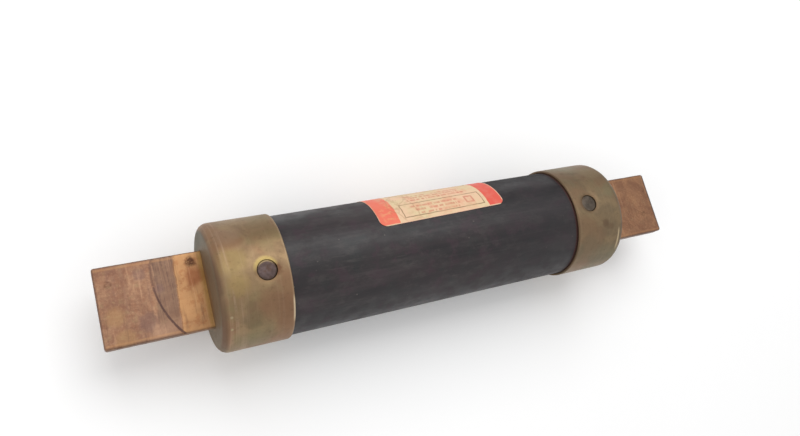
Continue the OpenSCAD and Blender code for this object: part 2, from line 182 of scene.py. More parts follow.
class Shader:
    """One material's node tree, with a short call for each kind of node that the fuse needs."""

    def __init__(self, name, **fixed):
        self.material = bpy.data.materials.new(name)
        self.material.use_nodes = True
        self.tree = self.material.node_tree
        self.bsdf = self.tree.nodes["Principled BSDF"]
        for socket, value in fixed.items():
            self.bsdf.inputs[socket.replace("_", " ")].default_value = value
        self.place = self.tree.nodes.new("ShaderNodeTexCoord").outputs["Object"]

    def link(self, value, socket):
        """Connects another node's output to a socket, or sets the socket to a plain value."""
        if isinstance(value, bpy.types.NodeSocket):
            self.tree.links.new(value, socket)
        else:
            socket.default_value = value

    def node(self, kind, settings=(), **inputs):
        made = self.tree.nodes.new(kind)
        for key, value in dict(settings).items():
            setattr(made, key, value)
        for socket, value in inputs.items():
            self.link(value, made.inputs[socket.replace("_", " ")])
        return made

    def stretched(self, scale, place=None, offset=(0, 0, 0)):
        """The place, scaled along each axis, so that a texture of scale 1 has those details per metre."""
        return self.node("ShaderNodeMapping", Vector=place or self.place, Scale=scale,
                         Location=offset).outputs[0]

    def noise(self, scale, detail=3, roughness=0.55, distortion=0, place=None, offset=(0, 0, 0)):
        """Noise from 0 to 1, with details of 1 / scale metres; scale is one number or three."""
        scales = scale if hasattr(scale, "__len__") else (scale,) * 3
        return self.node("ShaderNodeTexNoise", Vector=self.stretched(scales, place, offset), Scale=1,
                         Detail=detail, Roughness=roughness, Distortion=distortion).outputs["Fac"]

    def math(self, operation, a, b=0.0):
        made = self.tree.nodes.new("ShaderNodeMath")
        made.operation = operation
        self.link(a, made.inputs[0])
        self.link(b, made.inputs[1])
        return made.outputs[0]

    def times(self, *values):
        result = values[0]
        for value in values[1:]:
            result = self.math("MULTIPLY", result, value)
        return result

    def plus(self, *values):
        result = values[0]
        for value in values[1:]:
            result = self.math("ADD", result, value)
        return result

    def inverse(self, value):
        return self.math("SUBTRACT", 1.0, value)

    def either(self, *values):
        result = values[0]
        for value in values[1:]:
            result = self.math("MAXIMUM", result, value)
        return result

    def step(self, value, low, high, start=0.0, end=1.0):
        """Runs smoothly from start to end as value runs from low to high."""
        made = self.tree.nodes.new("ShaderNodeMapRange")
        made.interpolation_type = "SMOOTHSTEP"
        for index, given in enumerate((value, low, high, start, end)):
            self.link(given, made.inputs[index])
        return made.outputs[0]

    def span(self, value, low, high, soft):
        """1 where value lies between low and high, with soft edges of that width."""
        return self.times(self.step(value, low - soft, low + soft),
                          self.step(value, high - soft, high + soft, 1.0, 0.0))

    def mix(self, share, first, second):
        made = self.node("ShaderNodeMix", {"data_type": "RGBA"})
        self.link(share, made.inputs[0])
        self.link(first, made.inputs[6])
        self.link(second, made.inputs[7])
        return made.outputs[2]

    def axes(self, place=None):
        made = self.node("ShaderNodeSeparateXYZ", Vector=place or self.place)
        return made.outputs

    def distance(self, a, b):
        """Length of the plane vector (a, b)."""
        return self.math("SQRT", self.plus(self.times(a, a), self.times(b, b)))

    def patch(self, a, b, radius, ragged):
        """1 inside a round patch about (0, 0) of plane (a, b), 0 outside; ragged noise shapes its edge."""
        edge = self.plus(self.distance(a, b), self.times(self.math("SUBTRACT", ragged, 0.5), radius * 1.6))
        return self.step(edge, radius * 1.35, radius * 0.55)

    def cells(self, place, feature):
        """Distance to the nearest grain or cell edge, for cells that are 1 across in place's own units."""
        made = self.node("ShaderNodeTexVoronoi", {"feature": feature}, Vector=place, Scale=1)
        return made.outputs["Distance"]

    def grains(self, scale, feature="F1"):
        """The same with cells of 1 / scale metres."""
        return self.cells(self.stretched((scale,) * 3), feature)

    def finish(self, color, roughness, height=None, depth=0.0):
        """Sets colour, roughness and, where height is given, a relief of that depth in metres."""
        self.link(color, self.bsdf.inputs["Base Color"])
        self.link(roughness, self.bsdf.inputs["Roughness"])
        if height is not None:
            relief = self.node("ShaderNodeBump", Strength=1.0, Distance=depth, Height=height)
            self.link(relief.outputs[0], self.bsdf.inputs["Normal"])
        return self.material


# -------------------------------- materials of the outside

def fibre_material():
    """Laminated fibre: near black, satin, with faint streaks along the tube, scuffs and pale specks."""
    s = Shader("laminated_fibre", Specular_IOR_Level=0.40)
    x, y, z = s.axes()
    streaks = s.noise((22, 900, 900), detail=4, roughness=0.6)
    bands = s.noise((14, 110, 110), detail=3)
    cloud = s.noise((34, 70, 70), detail=4, roughness=0.6)
    mottle = s.noise((150, 260, 260), detail=5, roughness=0.72, offset=(2, 9, 4))
    stains = s.noise(150, detail=3, roughness=0.6, offset=(11, 3, 6))
    specks = s.step(s.grains(420), 0.16, 0.02)
    rare = s.step(s.noise(120, detail=1, offset=(3, 1, 2)), 0.60, 0.70)
    scuffs = s.times(s.step(s.noise((70, 620, 620), detail=5, offset=(5, 2, 8)), 0.60, 0.74),
                     s.step(s.noise(38, detail=2, offset=(1, 7, 4)), 0.48, 0.62))
    color = s.mix(s.step(cloud, 0.35, 0.68), srgb(29, 25, 28), srgb(36, 32, 33))
    color = s.mix(s.times(s.step(bands, 0.42, 0.66), 0.6), color, srgb(45, 35, 38))
    color = s.mix(s.times(s.step(stains, 0.52, 0.66), 0.7), color, srgb(50, 33, 41))
    color = s.mix(s.times(s.step(stains, 0.44, 0.32), 0.5), color, srgb(30, 33, 33))
    color = s.mix(s.times(s.step(mottle, 0.46, 0.70), 0.60), color, srgb(58, 53, 52))
    color = s.mix(s.times(s.step(mottle, 0.44, 0.26), 0.28), color, srgb(24, 21, 23))
    smears = s.step(s.noise((13, 105, 105), detail=4, roughness=0.6, offset=(4, 8, 3)), 0.50, 0.68)
    color = s.mix(s.times(smears, 0.35), color, srgb(72, 65, 65))
    color = s.mix(s.times(s.step(streaks, 0.50, 0.75), 0.25), color, srgb(62, 57, 57))
    color = s.mix(s.times(scuffs, 0.18), color, srgb(104, 96, 92))
    color = s.mix(s.times(specks, rare, 0.45), color, srgb(126, 118, 110))
    # Painted shade and a duller finish on the label's side, more so towards the right end, and a little on
    # the opposite side
    turn = s.math("ARCTAN2", y, z)
    dull_and_shaded = s.plus(s.times(s.step(x, -40 * MM, 60 * MM, 0.25, 1.0), s.step(turn, 0.65, 1.15)),
                  s.times(s.step(turn, -0.70, -1.15), 0.25))
    # Painted shade: darker towards the right end
    color = s.mix(s.times(s.step(x, 5 * MM, 50 * MM), 0.45), color, srgb(24, 21, 25))
    color = s.mix(s.times(dull_and_shaded, 0.75), color, srgb(22, 20, 23))
    # Varnish that has crept out from under the right cap
    varnish = s.step(s.plus(x, s.times(bands, -0.8 * MM)), CAP_LIP_X - 1.5 * MM, CAP_LIP_X - 0.7 * MM)
    color = s.mix(s.times(varnish, 0.8), color, srgb(64, 34, 30))
    rough = s.plus(s.step(cloud, 0.35, 0.65, 0.33, 0.45), s.step(stains, 0.35, 0.65, 0.0, 0.12),
                   s.times(scuffs, 0.12), s.times(dull_and_shaded, 0.38))
    height = s.plus(s.times(streaks, 0.6), s.times(s.noise(1500, detail=2), 0.25), s.times(bands, 0.5))
    return s.finish(color, rough, height, 0.025 * MM)


def brass_material(end, light, dark, warm, olive, patches, wear_and_painted_light):
    """Aged drawn brass of one cap: faint blotches, lines round it, a grimy shoulder, and painted highlights
    and shade at the lip and the shoulder.

    Each patch gives its distance from the end face, its place round the cap and its radius, all in
    millimetres, then its strength and its colour.
    """
    side = ENDS[end]
    s = Shader("cap_brass_" + end, Metallic=0.78)
    x, y, z = s.axes()
    along = s.times(x, float(side))
    around = s.times(s.math("ARCTAN2", y, z), CAP_R)
    lines = s.noise((1300, 26, 26), detail=4, roughness=0.6)
    rings = s.noise((300, 14, 14), detail=3, offset=(side, 0, 0))
    blotch = s.noise(115, detail=5, roughness=0.62, distortion=0.6, offset=(side * 2, 0, 0))
    broad = s.noise(52, detail=3, roughness=0.5, distortion=0.4, offset=(0, side * 3, 1))
    fine = s.noise(620, detail=4, roughness=0.7)
    pits = s.times(s.step(s.grains(900), 0.16, 0.05), s.step(s.noise(210, detail=2), 0.52, 0.62))
    color = s.mix(s.step(blotch, 0.34, 0.66), dark, light)
    color = s.mix(s.times(s.step(broad, 0.48, 0.60), 0.7), color, warm)
    color = s.mix(s.times(s.step(s.noise(75, detail=3, offset=(9, 4, side)), 0.50, 0.64), 0.6), color, olive)
    near_face = s.step(along, CAP_FACE_X - 12 * MM, CAP_FACE_X - 4 * MM)
    for from_face, place, radius, strength, tone in patches:
        spot = s.patch(s.plus(along, -CAP_FACE_X + from_face * MM), s.plus(around, -place * MM),
                       radius * MM, blotch)
        color = s.mix(s.times(spot, strength), color, tone)
    pale = srgb(176, 150, 126)
    drawn = s.times(near_face, s.step(broad, 0.40, 0.56), wear_and_painted_light["streaks"])
    color = s.mix(s.times(s.step(lines, 0.50, 0.72), s.plus(0.10, s.times(drawn, 0.30))), color, pale)
    color = s.mix(s.times(s.step(rings, 0.50, 0.66), s.plus(0.10, s.times(drawn, 0.50))), color, warm)
    color = s.mix(s.times(s.step(rings, 0.44, 0.30), drawn, 0.50), color, pale)
    color = s.mix(s.times(s.step(fine, 0.54, 0.74), 0.30), color, srgb(84, 68, 50))
    color = s.mix(s.times(pits, 0.4), color, srgb(62, 50, 38))
    # Grime in the shoulder, a greyer end face with a painted reflection, grey-green at the top and lighter
    # lower down, and a stained ring round the blade's root
    drift = s.step(y, 12 * MM, -8 * MM, -0.6 * MM, 0.8 * MM)
    shoulder = s.step(s.plus(along, drift), CAP_FACE_X - 2.0 * MM, CAP_FACE_X - 0.3 * MM)
    face = s.step(along, CAP_FACE_X - 0.4 * MM, CAP_FACE_X - 0.05 * MM)
    color = s.mix(s.times(shoulder, 0.65), color, srgb(88, 66, 52))
    face_tone_and_reflection = s.mix(s.step(y, 19 * MM, 10 * MM), srgb(92, 90, 75), srgb(122, 109, 90))
    color = s.mix(s.times(face, 0.85), color, face_tone_and_reflection)
    root = s.step(s.distance(y, s.times(z, 2.2)), 18 * MM, 11 * MM)
    color = s.mix(s.times(face, root, 0.6), color, srgb(136, 104, 72))
    # Painted highlights where the lip and the shoulder catch the light, mostly on the -Y side; the lip is
    # also left smoother
    low_side = s.span(around, -21 * MM, -12 * MM, 1.6 * MM)
    lip = s.times(s.step(along, CAP_LIP_X + 1.0 * MM, CAP_LIP_X + 0.2 * MM),
                  s.plus(0.15, s.times(low_side, 0.85)))
    color = s.mix(s.times(lip, wear_and_painted_light["lip"]), color, srgb(226, 206, 172))
    # Painted shade along the lip's edge, next to the tube
    edge = s.step(along, CAP_LIP_X + 0.7 * MM, CAP_LIP_X + 0.3 * MM)
    color = s.mix(s.times(edge, wear_and_painted_light["lip_shade"]), color, srgb(92, 72, 54))
    # Painted highlight on the shoulder's -Y side
    corner = s.times(s.span(along, CAP_FACE_X - 4.1 * MM, CAP_FACE_X - 3.4 * MM, 0.3 * MM), low_side)
    color = s.mix(s.times(corner, wear_and_painted_light["shoulder"]), color, srgb(222, 200, 162))
    # The pin's hole: a bright crescent on one side, brown stain on the other
    turn = PIN_TURN[end]
    pin_x = s.plus(along, -PIN_X)
    pin_y = s.plus(s.times(y, math.cos(turn)), s.times(z, -math.sin(turn)))
    ring = s.step(s.distance(pin_x, pin_y), PIN_HOLE_R + 1.3 * MM, PIN_HOLE_R)
    color = s.mix(s.times(ring, 0.55), color, wear_and_painted_light["ring"])
    crescent = s.step(s.distance(s.plus(pin_x, -0.30 * MM), s.plus(pin_y, -0.60 * MM)),
                      PIN_HOLE_R + 1.2 * MM, PIN_HOLE_R - 0.1 * MM)
    bare = s.times(crescent, s.step(pin_y, -1.0 * MM, 2.8 * MM), s.step(fine, 0.25, 0.5, 0.7, 1.0))
    color = s.mix(s.times(bare, wear_and_painted_light["crescent"]), color, srgb(192, 168, 108))
    stain = s.patch(s.plus(pin_x, 2.9 * MM), s.plus(pin_y, 0.2 * MM), 2.2 * MM, fine)
    color = s.mix(s.times(stain, wear_and_painted_light["crescent"], 0.85), color, srgb(104, 70, 50))
    rough = s.plus(s.step(blotch, 0.3, 0.7, 0.48, 0.38), s.times(fine, 0.14), s.times(shoulder, 0.08),
                   s.times(lip, -0.12))
    height = s.plus(s.times(lines, 0.5), s.times(fine, 0.7), blotch, s.times(pits, -0.5))
    return s.finish(color, rough, height, 0.045 * MM)


def copper_material(end, mid, brown, violet, clean, edge_dirt_and_shade_tone, worn):
    """Bare copper of one blade: brown oxide, marks across it and, where worn, the traces of its clip."""
    side = ENDS[end]
    ragged = 0.50 if worn else 0.25
    tip_shade = 0.0 if worn else 0.3
    tip_reach = 0.8 * MM if worn else 1.2 * MM
    tip = BLADE_TIP_X - CAP_FACE_X
    s = Shader("blade_copper_" + end, Metallic=0.82)
    x, y, z = s.axes()
    out = s.math("SUBTRACT", s.times(x, float(side)), CAP_FACE_X)
    upper = s.step(z, BLADE_HALF_T - 0.6 * MM, BLADE_HALF_T - 0.2 * MM)
    across = s.noise((950, 60, 60), detail=4, roughness=0.62, distortion=0.3)
    wide = s.noise((240, 34, 34), detail=4, roughness=0.6, distortion=0.5, offset=(side * 3, 0, 0))
    blotch = s.noise(130, detail=5, roughness=0.6, distortion=0.8, offset=(0, side * 2, 0))
    fine = s.noise(900, detail=3, roughness=0.7)
    blemish = s.noise(420, detail=4, roughness=0.65, offset=(5, 5, side))

    def there(out0, y0, radius):
        return s.patch(s.plus(out, -out0 * MM), s.plus(y, -y0 * MM), radius * MM, blotch)

    color = s.mix(s.step(blotch, 0.34, 0.68), brown, mid)
    color = s.mix(s.times(s.step(wide, 0.48, 0.64), 0.40), color, violet)
    color = s.mix(s.times(s.step(blemish, 0.50, 0.62), ragged), color, srgb(138, 96, 74))
    color = s.mix(s.times(s.step(blemish, 0.46, 0.36), ragged), color, srgb(148, 122, 92))
    freckles = s.noise(1300, detail=3, roughness=0.6, offset=(2, side, 7))
    color = s.mix(s.times(s.step(freckles, 0.52, 0.66), 0.35), color, srgb(118, 82, 68))
    color = s.mix(s.times(s.step(freckles, 0.46, 0.34), 0.30), color, srgb(178, 142, 112))
    if worn:
        bent = s.node("ShaderNodeCombineXYZ", X=s.plus(s.times(x, 150.0), s.times(blotch, 1.6)),
                      Y=s.plus(s.times(y, 110.0), s.times(wide, 1.6))).outputs[0]
        cracks = s.step(s.cells(bent, "DISTANCE_TO_EDGE"), 0.05, 0.0)
        color = s.mix(s.times(cracks, s.step(blemish, 0.36, 0.60), 0.40), color, srgb(112, 76, 64))
        # The clip's jaw has left a violet band with scratches, and kept the metal behind it clean
        wander = s.times(s.math("SUBTRACT", s.noise((90, 140, 140), detail=3), 0.5), 2.4 * MM)
        shifted = s.plus(out, wander, s.times(y, 0.06))
        band = s.span(shifted, 10.3 * MM, 17.5 * MM, 0.9 * MM)
        band = s.times(band, s.step(y, -12 * MM, -5 * MM, 0.25, 1.0))
        pale_foot = s.times(s.span(shifted, 11 * MM, 21 * MM, 2.0 * MM), s.step(y, -7 * MM, -10 * MM))
        color = s.mix(s.times(pale_foot, 0.5), color, srgb(170, 136, 112))
        color = s.mix(s.times(band, 0.7), color, srgb(124, 98, 82))
        scratches = s.step(s.noise((1500, 40, 40), detail=3, offset=(7, 0, 0)), 0.50, 0.66)
        color = s.mix(s.times(band, scratches, s.step(blemish, 0.34, 0.56), 0.65), color, srgb(86, 66, 62))
        color = s.mix(s.times(s.either(there(21, -7.5, 3.2), there(21.5, 9, 2.4), there(16, 3, 2.0)), 0.45),
                      color, srgb(120, 94, 88))
        color = s.mix(s.times(s.either(there(31, -4, 3.0), there(29, -11.5, 3.0)), 0.45),
                      color, srgb(168, 132, 92))
        kept = s.step(shifted, 10.6 * MM, 10.0 * MM)
        color = s.mix(s.times(kept, s.step(blotch, 0.30, 0.60, 0.75, 1.0)), color, clean)
        color = s.mix(s.times(s.step(blemish, 0.50, 0.62), kept, 0.5), color, srgb(160, 106, 70))
        color = s.mix(s.times(there(3.5, 5, 3.4), 0.75), color, srgb(146, 90, 60))
        dark_spot = s.times(there(4.1, 10.8, 1.9), s.step(fine, 0.30, 0.50), upper)
        color = s.mix(s.times(dark_spot, 0.9), color, srgb(74, 42, 30))
        # Painted shade with a golden tint next to the cap face
        color = s.mix(s.times(s.step(out, 2.4 * MM, 0.6 * MM), 0.6), color, srgb(150, 120, 64))
        border = s.times(s.span(shifted, 10.05 * MM, 10.3 * MM, 0.16 * MM), s.step(fine, 0.34, 0.5))
        color = s.mix(s.times(border, 0.6), color, srgb(96, 62, 48))
    else:
        color = s.mix(s.times(s.either(there(9, -4, 4.5), there(5, 6, 2.5)), 0.45), color, clean)
        color = s.mix(s.times(s.either(there(27, 9, 4.0), there(20, 11, 3.0)), 0.40), color, brown)
    color = s.mix(s.times(s.step(across, 0.56, 0.74), 0.35), color, srgb(92, 66, 58))
    color = s.mix(s.times(s.step(across, 0.42, 0.30), 0.30), color, srgb(190, 150, 118))
    if not worn:
        # Wiped with a coarse pad: faint scratches on wide arcs
        swirl = s.distance(s.plus(out, -4 * MM), s.plus(y, 30 * MM))
        arcs = s.noise(1, detail=3, place=s.node("ShaderNodeCombineXYZ", X=s.times(swirl, 1500.0),
                                                Y=s.times(out, 60.0)).outputs[0])
        color = s.mix(s.times(s.step(arcs, 0.52, 0.70), 0.16), color, srgb(188, 146, 112))
    # Edges are dark from handling dirt and from painted shade, the tip darker still on the right blade, with
    # a few bare nicks
    long_edge = s.step(s.math("ABSOLUTE", y), BLADE_HALF_W - 0.8 * MM, BLADE_HALF_W - 0.1 * MM)
    tip_edge = s.step(out, tip - tip_reach, tip - tip_reach / 3)
    edge_dirt_and_shade = s.either(long_edge, tip_edge)
    # Painted highlight: a lighter strip just inside each long edge
    bevel_highlight = s.span(s.math("ABSOLUTE", y), BLADE_HALF_W - 1.5 * MM, BLADE_HALF_W - 0.8 * MM, 0.3 * MM)
    color = s.mix(s.times(bevel_highlight, 0.35), color, clean)
    color = s.mix(s.times(edge_dirt_and_shade, s.plus(0.60, s.times(tip_edge, tip_shade))), color, edge_dirt_and_shade_tone)
    color = s.mix(s.times(edge_dirt_and_shade, s.step(fine, 0.56, 0.66), 0.5 if worn else 0.2), color, clean)
    height = s.plus(across, s.times(wide, 0.8), s.times(fine, 0.4))
    if worn:
        # One long gouge that curves towards the cap
        bend = 32.7 * MM
        gouge_r = s.distance(s.plus(out, bend - 18 * MM), s.plus(y, -7 * MM))
        width = s.step(y, 8 * MM, -10 * MM, 0.03 * MM, 0.22 * MM)
        softness = s.step(y, 9 * MM, -4 * MM, 0.75 * MM, 0.28 * MM)
        off_line = s.math("ABSOLUTE", s.plus(gouge_r, -bend, s.times(wide, 0.5 * MM)))
        gouge = s.times(s.step(s.math("SUBTRACT", off_line, width), softness, 0.0),
                        s.step(fine, 0.26, 0.46), s.step(y, 10 * MM, -3 * MM, 0.55, 1.0), upper)
        color = s.mix(s.times(gouge, 0.8), color, srgb(76, 54, 54))
        height = s.plus(height, s.times(gouge, -1.6))
    spots = s.times(s.step(s.noise(170, detail=2, offset=(6, 6, side)), 0.66, 0.73), s.step(fine, 0.35, 0.6))
    color = s.mix(s.times(spots, 0.5), color, srgb(84, 50, 36))
    rough = s.plus(s.step(blotch, 0.3, 0.7, 0.48, 0.38), s.times(across, 0.12), s.times(fine, 0.08))
    return s.finish(color, rough, height, 0.05 * MM)


def pin_material(end, light, dark, burr):
    """Dark drawn steel with turning rings on its end, a little rust and, where burr is set, smeared brass."""
    s = Shader("pin_steel_" + end, Metallic=0.75)
    x, y, z = s.axes()
    turn = PIN_TURN[end]
    across = s.plus(s.times(y, math.cos(turn)), s.times(z, -math.sin(turn)))
    radius = s.distance(s.math("SUBTRACT", s.math("ABSOLUTE", x), PIN_X), across)
    rings = s.noise(1, detail=2, place=s.node("ShaderNodeCombineXYZ", X=s.times(radius, 2600.0)).outputs[0])
    cloud = s.noise(420, detail=4, roughness=0.65)
    rust = s.step(s.noise(300, detail=3, offset=(4, 4, 4)), 0.54, 0.68)
    color = s.mix(s.step(cloud, 0.38, 0.66), dark, light)
    color = s.mix(s.times(rust, 0.6), color, srgb(84, 58, 42))
    # Painted shade: darker brown round the rim of the pin's end, where it sits down in its hole
    color = s.mix(s.times(s.step(radius, PIN_R - 0.8 * MM, PIN_R - 0.1 * MM), 0.55), color, srgb(82, 66, 50))
    smeared = s.times(s.step(radius, PIN_R - 0.9 * MM, PIN_R - 0.3 * MM), s.step(across, 1.2 * MM, 3.0 * MM))
    color = s.mix(s.times(smeared, burr), color, srgb(166, 144, 104))
    return s.finish(color, s.plus(0.38, s.times(cloud, 0.22)), s.plus(rings, s.times(cloud, 2.0)), 0.04 * MM)


# -------------------------------- materials of the inside

def metal_material(name, light, dark, metallic, rough, scale, stretch=(1, 1, 1)):
    """A plain metal part: two tones, fine machining lines along the stretched axes and fine grain."""
    s = Shader(name, Metallic=metallic)
    cloud = s.noise(scale * 0.25, detail=4)
    lines = s.noise(tuple(scale * share for share in stretch), detail=3)
    fine = s.noise(scale * 1.6, detail=3)
    color = s.mix(s.step(cloud, 0.10, 0.90, 0.25, 1.0), dark, light)
    color = s.mix(s.times(s.step(lines, 0.5, 0.75), 0.35), color, dark)
    color = s.mix(s.times(s.step(fine, 0.55, 0.75), 0.20), color, dark)
    rough = s.plus(rough, s.times(lines, 0.15), s.times(cloud, 0.08))
    return s.finish(color, rough, s.plus(lines, fine), 0.03 * MM)


def fibre_washer_material():
    s = Shader("vulcanised_fibre")
    cloud = s.noise(160, detail=4)
    weave = s.noise((1800, 500, 500), detail=3)
    color = s.mix(s.step(cloud, 0.35, 0.65), srgb(132, 121, 108), srgb(158, 147, 131))
    color = s.mix(s.times(s.step(weave, 0.5, 0.7), 0.4), color, srgb(108, 97, 84))
    return s.finish(color, s.plus(0.6, s.times(cloud, 0.2)), weave, 0.05 * MM)


def mica_material():
    s = Shader("pressed_mica")
    flakes = s.grains(520)
    cloud = s.noise(240, detail=4)
    color = s.mix(s.step(flakes, 0.1, 0.8), srgb(190, 172, 128), srgb(138, 118, 78))
    color = s.mix(s.times(s.step(cloud, 0.5, 0.7), 0.5), color, srgb(110, 92, 60))
    return s.finish(color, s.step(flakes, 0.1, 0.8, 0.25, 0.5), flakes, 0.06 * MM)


def sand_material():
    """Packed quartz: pale translucent-looking grains of about half a millimetre."""
    s = Shader("quartz_sand")
    grain = s.grains(2100)
    edge = s.grains(2100, feature="DISTANCE_TO_EDGE")
    tone = s.noise(1300, detail=2)
    color = s.mix(s.step(tone, 0.35, 0.65), srgb(196, 180, 150), srgb(232, 224, 206))
    # Painted shade in the gaps between the grains
    color = s.mix(s.step(edge, 0.06, 0.0), color, srgb(140, 122, 96))
    return s.finish(color, s.step(tone, 0.3, 0.7, 0.35, 0.7), s.inverse(grain), 0.25 * MM)


# -------------------------------- the label's print

LABEL_LEN = label_high.x - label_low.x
LABEL_X0 = label_low.x
LABEL_START = math.radians(19)
LABEL_SPAN = math.radians(98)
LABEL_CORNER = 2.8 * MM
LABEL_SKEW = math.radians(1.3)
LABEL_R = label_high.z / math.cos(LABEL_START)
LABEL_WIDTH = LABEL_SPAN * LABEL_R


def label_material():
    """Printed paper: orange-red ends, a cream field, thin frames, rows of plain dashes and one plain square.

    Places on it are in millimetres: u along the tube from the left end, v round it from the edge nearer +Z.
    """
    s = Shader("label_paper", Specular_IOR_Level=0.3)
    print_place = s.tree.nodes.new("ShaderNodeTexCoord").outputs["UV"]
    u, v = s.axes(print_place)[:2]
    u = s.plus(u, s.times(s.math("SUBTRACT", s.noise(420, detail=3), 0.5), 0.5 * MM))
    v = s.plus(v, s.times(s.math("SUBTRACT", s.noise(420, detail=3, offset=(6, 2, 0)), 0.5), 0.5 * MM))
    cloud = s.noise(110, detail=4, roughness=0.6)
    fibres = s.noise((500, 2200, 2200), detail=3)
    faded = s.noise(260, detail=4, roughness=0.7, offset=(3, 3, 3))

    def area(u0, u1, v0, v1, soft=0.07):
        return s.times(s.span(u, u0 * MM, u1 * MM, soft * MM), s.span(v, v0 * MM, v1 * MM, soft * MM))

    def outline(u0, u1, v0, v1, line=0.42):
        inner = area(u0 + line, u1 - line, v0 + line, v1 - line)
        return s.times(area(u0, u1, v0, v1), s.inverse(inner))

    def dashes(u0, u1, v0, v1, pitch, seed):
        """A row of short plain strokes of uneven length."""
        beat = s.noise(1, detail=0, place=s.node(
            "ShaderNodeCombineXYZ", X=s.times(u, 1 / (pitch * MM)), Y=seed).outputs[0])
        return s.times(area(u0, u1, v0, v1, 0.25), s.step(beat, 0.38, 0.50))

    length = LABEL_LEN / MM
    width = LABEL_WIDTH / MM
    cream = s.mix(s.step(cloud, 0.36, 0.66), srgb(222, 187, 154), srgb(212, 193, 152))
    cream = s.mix(s.times(s.step(faded, 0.52, 0.70), 0.35), cream, srgb(188, 160, 122))
    bleed = s.times(area(14, 45, 0.5, 17, 2.5), s.step(s.noise(230, detail=4, offset=(1, 5, 9)), 0.42, 0.62))
    cream = s.mix(s.times(bleed, 0.55), cream, srgb(218, 158, 128))
    red = s.mix(s.step(faded, 0.42, 0.70), srgb(215, 89, 74), srgb(213, 106, 90))
    red = s.mix(s.step(u, 9 * MM, 8 * MM, 0.0, 0.6), red, srgb(230, 124, 98))
    ends = s.either(area(0.1, 8.0, 0.35, width - 0.35),
                    area(length - 6.9, length - 0.3, 0.35, width - 0.35))
    scuff = s.times(s.step(s.noise((420, 700, 700), detail=4, offset=(8, 1, 1)), 0.50, 0.62),
                    area(2.0, 7.5, 1.5, 12.0, 1.2))
    rubbed = s.times(area(4.6, 8.2, 11.0, width, 1.0), s.step(faded, 0.36, 0.52))
    worn = s.step(faded, 0.72, 0.45)
    frames = s.either(outline(10.5, 46.2, 1.9, 9.3), outline(10.5, 46.2, 18.5, 27.5))
    brown_print = s.times(frames, s.step(faded, 0.70, 0.42, 0.45, 0.85))
    rows = [dashes(*row) for row in (
        (18.0, 35.5, 2.7, 3.5, 1.3, 1.3), (16.5, 36.0, 4.5, 5.5, 1.0, 4.7), (14.5, 36.0, 6.5, 7.5, 1.1, 7.1),
        (15.0, 41.0, 10.7, 11.8, 1.0, 11.9), (17.0, 39.0, 12.7, 13.6, 0.9, 17.2),
        (15.0, 41.0, 14.5, 15.4, 1.0, 23.6), (14.0, 43.0, 20.3, 21.6, 1.5, 31.1),
        (14.0, 43.0, 23.6, 25.2, 1.8, 37.8), (15.0, 41.0, 29.8, 30.7, 1.0, 41.5),
        (17.0, 39.0, 32.0, 32.9, 1.0, 47.3))]
    square = outline(38.6, 42.4, 3.7, 7.7, 0.75)
    red_print = s.times(s.either(*rows, square), worn, 0.6)
    color = s.mix(red_print, cream, srgb(190, 98, 82))
    color = s.mix(brown_print, color, srgb(132, 104, 76))
    color = s.mix(ends, color, red)
    color = s.mix(s.times(scuff, 0.75), color, srgb(222, 150, 108))
    color = s.mix(s.times(rubbed, 0.65), color, srgb(212, 150, 118))
    folded = s.node("ShaderNodeCombineXYZ", X=s.times(u, 160.0), Y=s.times(v, 95.0),
                    Z=s.times(faded, 0.8)).outputs[0]
    creases = s.times(s.step(s.cells(folded, "DISTANCE_TO_EDGE"), 0.07, 0.0),
                      area(6.0, 19.0, 0.3, 20.0, 2.0))
    color = s.mix(s.times(creases, 0.32), color, srgb(150, 112, 78))
    edge = s.inverse(area(0.25, length - 0.25, 0.25, width - 0.25, 0.2))
    color = s.mix(s.times(edge, s.step(u, 4 * MM, 10 * MM, 0.15, 0.6)), color, srgb(224, 176, 156))
    height = s.plus(fibres, s.times(cloud, 1.5))
    return s.finish(color, s.plus(0.48, s.times(cloud, 0.14)), height, 0.02 * MM)


# -------------------------------- mesh building

SHARP_ANGLE = math.radians(35)
ROUND_STEPS = 64


def add_mesh(name, points, faces, material):
    """A mesh piece that is smooth except at its sharp edges."""
    mesh = bpy.data.meshes.new(name)
    mesh.from_pydata([tuple(p) for p in points], [], faces)
    mesh.validate()
    mesh.update()
    mesh.materials.append(material)
    piece = bpy.data.objects.new(name, mesh)
    bpy.context.scene.collection.objects.link(piece)
    mesh.shade_smooth()
    mesh.set_sharp_from_angle(angle=SHARP_ANGLE)
    return piece


def join_rings(rings, closed_along=False):
    """Points and faces of a skin over rings of equal length, with end faces unless it closes along too."""
    count = len(rings[0])
    points = [p for ring in rings for p in ring]
    faces = []
    last = len(rings) if closed_along else len(rings) - 1
    for i in range(last):
        here, there = i * count, (i + 1) % len(rings) * count
        for j in range(count):
            k = (j + 1) % count
            faces.append((here + j, here + k, there + k, there + j))
    if not closed_along:
        faces.append(tuple(reversed(range(count))))
        faces.append(tuple(range((len(rings) - 1) * count, len(rings) * count)))
    return points, faces


def arc(centre, radius, start, end, steps):
    """Points (x, r) of an arc in the section plane; angles in degrees from +x towards +r."""
    return [(centre[0] + radius * math.cos(math.radians(start + (end - start) * i / steps)),
             centre[1] + radius * math.sin(math.radians(start + (end - start) * i / steps)))
            for i in range(steps + 1)]


def line(start, end, steps):
    """Points strictly between two points of a section."""
    return [(start[0] + (end[0] - start[0]) * i / steps, start[1] + (end[1] - start[1]) * i / steps)
            for i in range(1, steps)]


def uneven(depth, x, y, z, size, seed):
    """A depth from about 0 to twice the one given, smoothly changing from place to place over that size."""
    return depth * (1 + noise.noise(Vector((x / size + seed, y / size, z / size))))


def bake_modifiers(piece):
    """Replaces a piece's mesh by what its modifiers make of it."""
    graph = bpy.context.evaluated_depsgraph_get()
    result = bpy.data.meshes.new_from_object(piece.evaluated_get(graph))
    piece.modifiers.clear()
    piece.data = result


